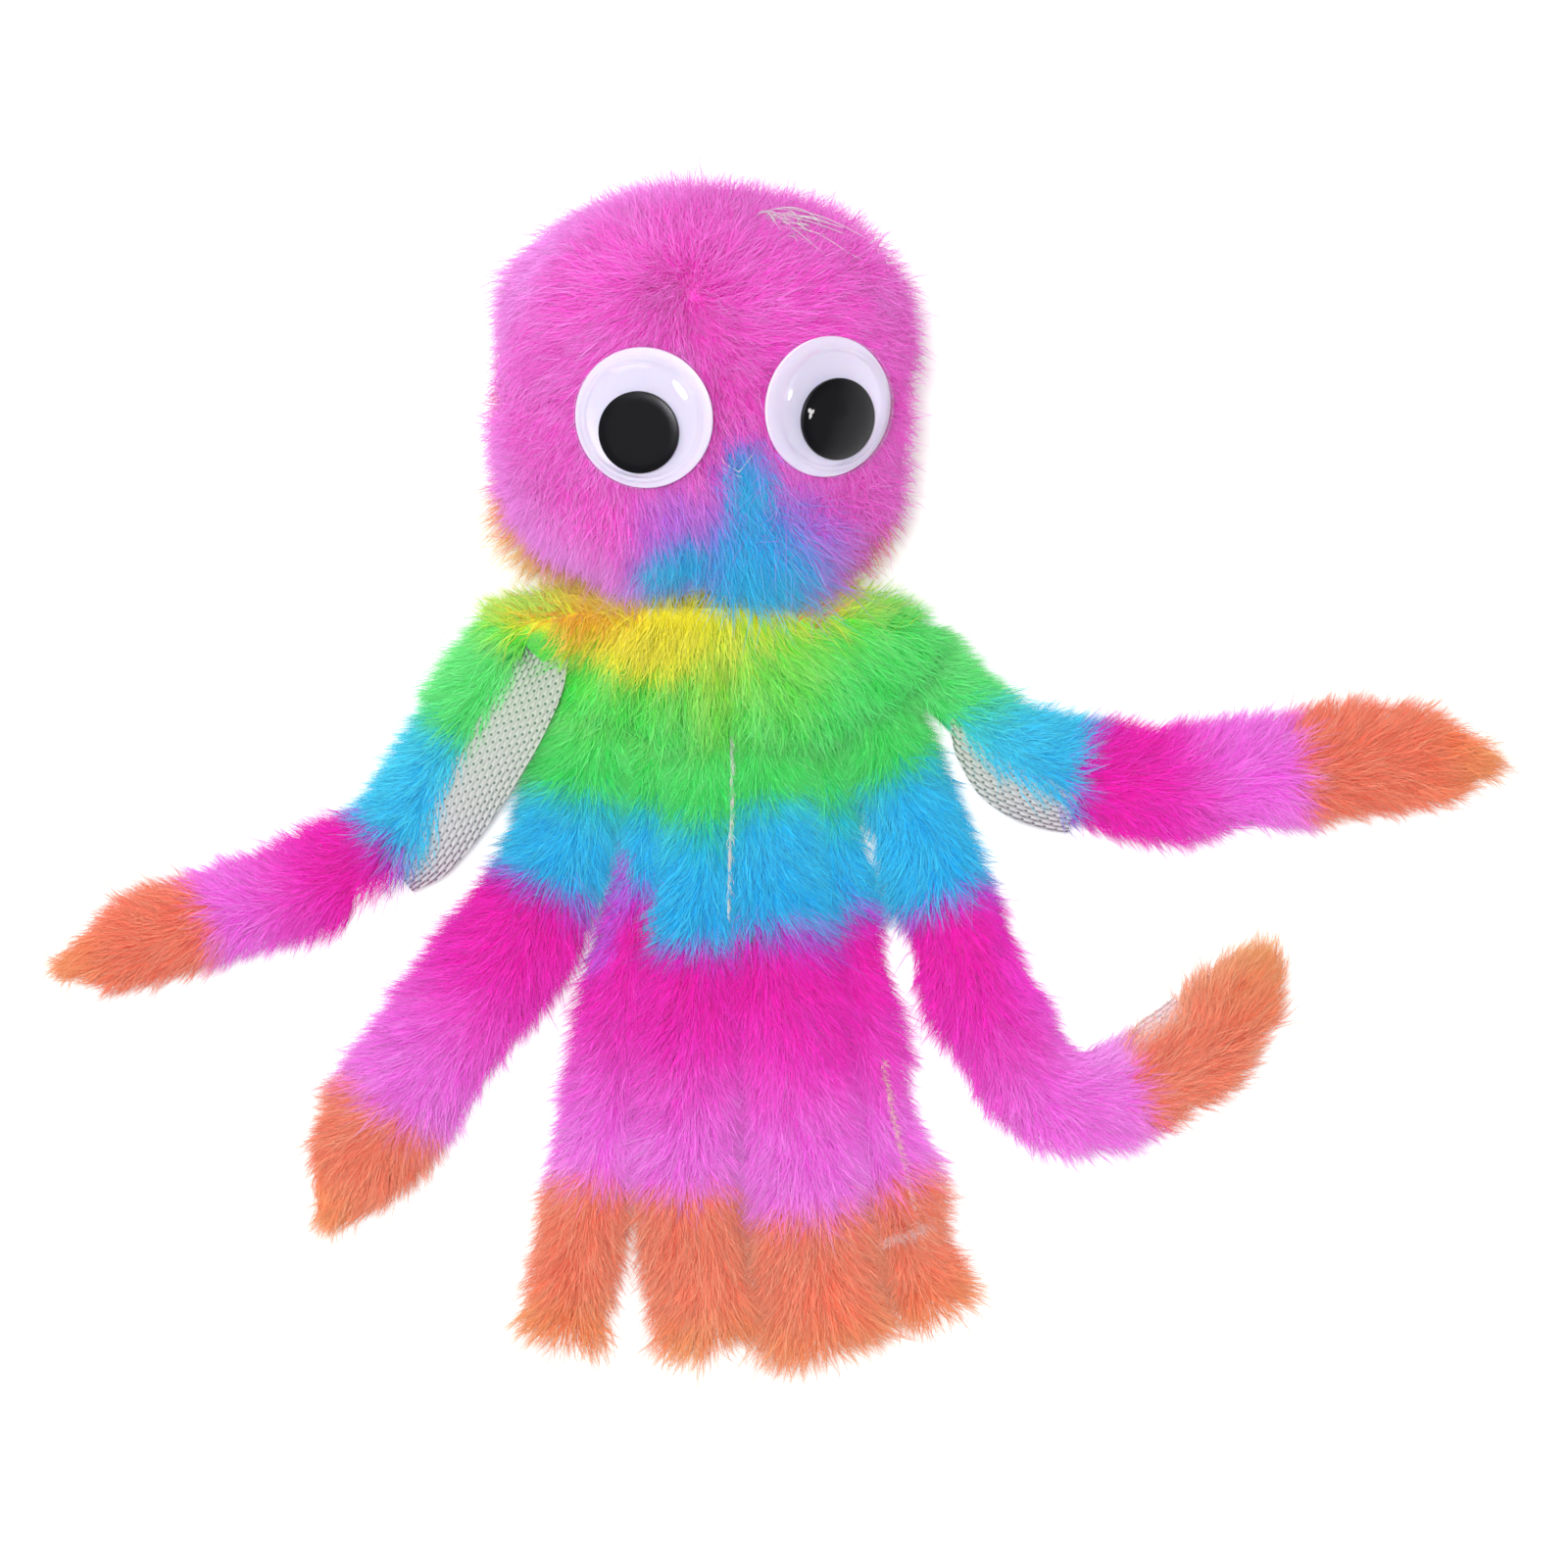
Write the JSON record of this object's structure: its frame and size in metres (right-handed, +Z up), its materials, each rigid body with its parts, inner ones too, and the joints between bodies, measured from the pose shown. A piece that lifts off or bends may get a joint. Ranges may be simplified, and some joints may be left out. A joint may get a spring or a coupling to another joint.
{
  "type": "plush octopus",
  "caption": "Small long-pile plush octopus lying on its back: stuffed ball head with domed wobbling eyes, tied at the neck above a skirt cut into jointed legs",
  "frame": {"origin": "middle of the flat patch under the back of the head, on the surface that the toy lies on", "axes": "+X to the right across the legs as seen from above, +Y towards the crown of the head, +Z up through the face"},
  "size_m": [0.2084, 0.1668, 0.0566],
  "materials": {
    "plush_magenta": "long synthetic pile, hot magenta with pale pink ends",
    "plush_green": "long synthetic pile, dyed from yellow through lime to green",
    "plush_blue": "long synthetic pile, sky blue",
    "plush_pink": "long synthetic pile, deep magenta fading to pink",
    "plush_coral": "long synthetic pile, coral orange with pale peach ends",
    "knit_backing": "white knitted backing of the pile, matt, in fine ribs",
    "stuffing": "white polyester fibre, loose and matt",
    "thread": "white polyester thread",
    "glue": "hot-melt glue, cloudy and glossy",
    "eye_white": "milky lilac-white plastic, satin",
    "eye_clear": "clear moulded plastic, glossy",
    "eye_black": "black plastic, glossy"
  },
  "bodies": {
    "head": {"head_cover": "plush_magenta", "head_stuffing": "stuffing", "neck_tie": "thread", "left_glue_pad": "glue", "left_eye_back": "eye_white", "left_eye_cap": "eye_clear", "right_glue_pad": "glue", "right_eye_back": "eye_white", "right_eye_cap": "eye_clear"},
    "skirt": {"leg_skirt": "plush_green"},
    "leg_1_upper": {"leg_1_upper": "plush_blue"},
    "leg_1_middle": {"leg_1_middle": "plush_pink"},
    "leg_1_tip": {"leg_1_tip": "plush_coral"},
    "leg_2_upper": {"leg_2_upper": "plush_blue"},
    "leg_2_middle": {"leg_2_middle": "plush_pink"},
    "leg_2_tip": {"leg_2_tip": "plush_coral"},
    "leg_3_upper": {"leg_3_upper": "plush_blue"},
    "leg_3_middle": {"leg_3_middle": "plush_pink"},
    "leg_3_tip": {"leg_3_tip": "plush_coral"},
    "leg_4_upper": {"leg_4_upper": "plush_blue"},
    "leg_4_middle": {"leg_4_middle": "plush_pink"},
    "leg_4_tip": {"leg_4_tip": "plush_coral"},
    "leg_5_upper": {"leg_5_upper": "plush_blue"},
    "leg_5_middle": {"leg_5_middle": "plush_pink"},
    "leg_5_tip": {"leg_5_tip": "plush_coral"},
    "leg_6_upper": {"leg_6_upper": "plush_blue"},
    "leg_6_middle": {"leg_6_middle": "plush_pink"},
    "leg_6_tip": {"leg_6_tip": "plush_coral"},
    "leg_7_upper": {"leg_7_upper": "plush_blue"},
    "leg_7_middle": {"leg_7_middle": "plush_pink"},
    "leg_7_tip": {"leg_7_tip": "plush_coral"},
    "leg_8_upper": {"leg_8_upper": "plush_blue"},
    "leg_8_middle": {"leg_8_middle": "plush_pink"},
    "leg_8_tip": {"leg_8_tip": "plush_coral"},
    "left_pupil": {"left_pupil": "eye_black"},
    "right_pupil": {"right_pupil": "eye_black"}
  },
  "joints": [
    {"name": "neck_nod", "type": "hinge", "parent": "head", "child": "skirt", "pos_m": [0, -0.03027, 0.0255], "axis": [-1, 0, 0], "range_deg": [0, 45]},
    {"name": "leg_1_lift", "type": "hinge", "parent": "skirt", "child": "leg_1_upper", "pos_m": [-0.02801, -0.03651, 0.00787], "axis": [-0.8402, 0.5422, 0], "range_deg": [0, 70]},
    {"name": "leg_1_swing", "type": "hinge", "parent": "leg_1_upper", "child": "leg_1_middle", "pos_m": [-0.04658, -0.06602, 0], "axis": [0, 0, -1], "range_deg": [-15, 15]},
    {"name": "leg_1_curl", "type": "hinge", "parent": "leg_1_middle", "child": "leg_1_tip", "pos_m": [-0.07261, -0.07715, 0.00832], "axis": [-0.3051, 0.9523, 0], "range_deg": [0, 80]},
    {"name": "leg_2_lift", "type": "hinge", "parent": "skirt", "child": "leg_2_upper", "pos_m": [-0.01588, -0.04701, 0.00787], "axis": [-0.9841, 0.1774, 0], "range_deg": [0, 70]},
    {"name": "leg_2_swing", "type": "hinge", "parent": "leg_2_upper", "child": "leg_2_middle", "pos_m": [-0.02299, -0.0725, 0], "axis": [0, 0, -1], "range_deg": [-15, 15]},
    {"name": "leg_2_curl", "type": "hinge", "parent": "leg_2_middle", "child": "leg_2_tip", "pos_m": [-0.04449, -0.103, 0.00831], "axis": [-0.834, 0.5518, 0], "range_deg": [0, 80]},
    {"name": "leg_3_lift", "type": "hinge", "parent": "skirt", "child": "leg_3_upper", "pos_m": [-0.00718, -0.0493, 0.0062], "axis": [-0.9998, 0.0185, 0], "range_deg": [0, 70]},
    {"name": "leg_3_swing", "type": "hinge", "parent": "leg_3_upper", "child": "leg_3_middle", "pos_m": [-0.00901, -0.07383, 0], "axis": [0, 0, -1], "range_deg": [0, 15]},
    {"name": "leg_3_curl", "type": "hinge", "parent": "leg_3_middle", "child": "leg_3_tip", "pos_m": [-0.01558, -0.11414, 0.00656], "axis": [-0.9797, 0.2005, 0], "range_deg": [0, 80]},
    {"name": "leg_4_lift", "type": "hinge", "parent": "skirt", "child": "leg_4_upper", "pos_m": [0.00019, -0.05, 0.00787], "axis": [-1, 0.01, 0], "range_deg": [0, 70]},
    {"name": "leg_4_bend", "type": "hinge", "parent": "leg_4_upper", "child": "leg_4_middle", "pos_m": [-0.00086, -0.078, 0.0085], "axis": [-0.9985, 0.0554, 0], "range_deg": [0, 30]},
    {"name": "leg_4_curl", "type": "hinge", "parent": "leg_4_middle", "child": "leg_4_tip", "pos_m": [-0.00271, -0.11486, 0.00832], "axis": [-0.9961, -0.0885, 0], "range_deg": [0, 80]},
    {"name": "leg_5_lift", "type": "hinge", "parent": "skirt", "child": "leg_5_upper", "pos_m": [0.00961, -0.04979, 0.00787], "axis": [-1, 0, 0], "range_deg": [0, 70]},
    {"name": "leg_5_bend", "type": "hinge", "parent": "leg_5_upper", "child": "leg_5_middle", "pos_m": [0.01042, -0.07625, 0.0085], "axis": [-0.9976, -0.0689, 0], "range_deg": [0, 30]},
    {"name": "leg_5_curl", "type": "hinge", "parent": "leg_5_middle", "child": "leg_5_tip", "pos_m": [0.01542, -0.11691, 0.00832], "axis": [-0.9906, -0.137, 0], "range_deg": [0, 80]},
    {"name": "leg_6_lift", "type": "hinge", "parent": "skirt", "child": "leg_6_upper", "pos_m": [0.01752, -0.0486, 0.00469], "axis": [-0.9976, -0.0688, 0], "range_deg": [0, 70]},
    {"name": "leg_6_swing", "type": "hinge", "parent": "leg_6_upper", "child": "leg_6_middle", "pos_m": [0.01997, -0.07594, 0], "axis": [0, 0, 1], "range_deg": [0, 15]},
    {"name": "leg_6_curl", "type": "hinge", "parent": "leg_6_middle", "child": "leg_6_tip", "pos_m": [0.02708, -0.11481, 0.00497], "axis": [-0.9694, -0.2455, 0], "range_deg": [0, 80]},
    {"name": "leg_7_lift", "type": "hinge", "parent": "skirt", "child": "leg_7_upper", "pos_m": [0.02421, -0.0448, 0.00787], "axis": [-0.9214, -0.3886, 0], "range_deg": [0, 70]},
    {"name": "leg_7_swing", "type": "hinge", "parent": "leg_7_upper", "child": "leg_7_middle", "pos_m": [0.03548, -0.07326, 0], "axis": [0, 0, 1], "range_deg": [-15, 15]},
    {"name": "leg_7_curl", "type": "hinge", "parent": "leg_7_middle", "child": "leg_7_tip", "pos_m": [0.06228, -0.10181, 0.00832], "axis": [0.2908, -0.9568, 0], "range_deg": [0, 80]},
    {"name": "leg_8_lift", "type": "hinge", "parent": "skirt", "child": "leg_8_upper", "pos_m": [0.03059, -0.03939, 0.00787], "axis": [-0.6848, -0.7287, 0], "range_deg": [0, 70]},
    {"name": "leg_8_swing", "type": "hinge", "parent": "leg_8_upper", "child": "leg_8_middle", "pos_m": [0.05542, -0.05608, 0], "axis": [0, 0, 1], "range_deg": [-15, 15]},
    {"name": "leg_8_curl", "type": "hinge", "parent": "leg_8_middle", "child": "leg_8_tip", "pos_m": [0.08482, -0.0554, 0.00833], "axis": [0.1198, -0.9928, 0], "range_deg": [0, 80]},
    {"name": "left_pupil_roll", "type": "hinge", "parent": "head", "child": "left_pupil", "pos_m": [-0.00788, -0.00482, 0.05069], "axis": [-0.2222, -0.1564, 0.9624], "continuous": true},
    {"name": "right_pupil_roll", "type": "hinge", "parent": "head", "child": "right_pupil", "pos_m": [0.01809, -0.00311, 0.04744], "axis": [0.4649, -0.1392, 0.8744], "continuous": true}
  ]
}
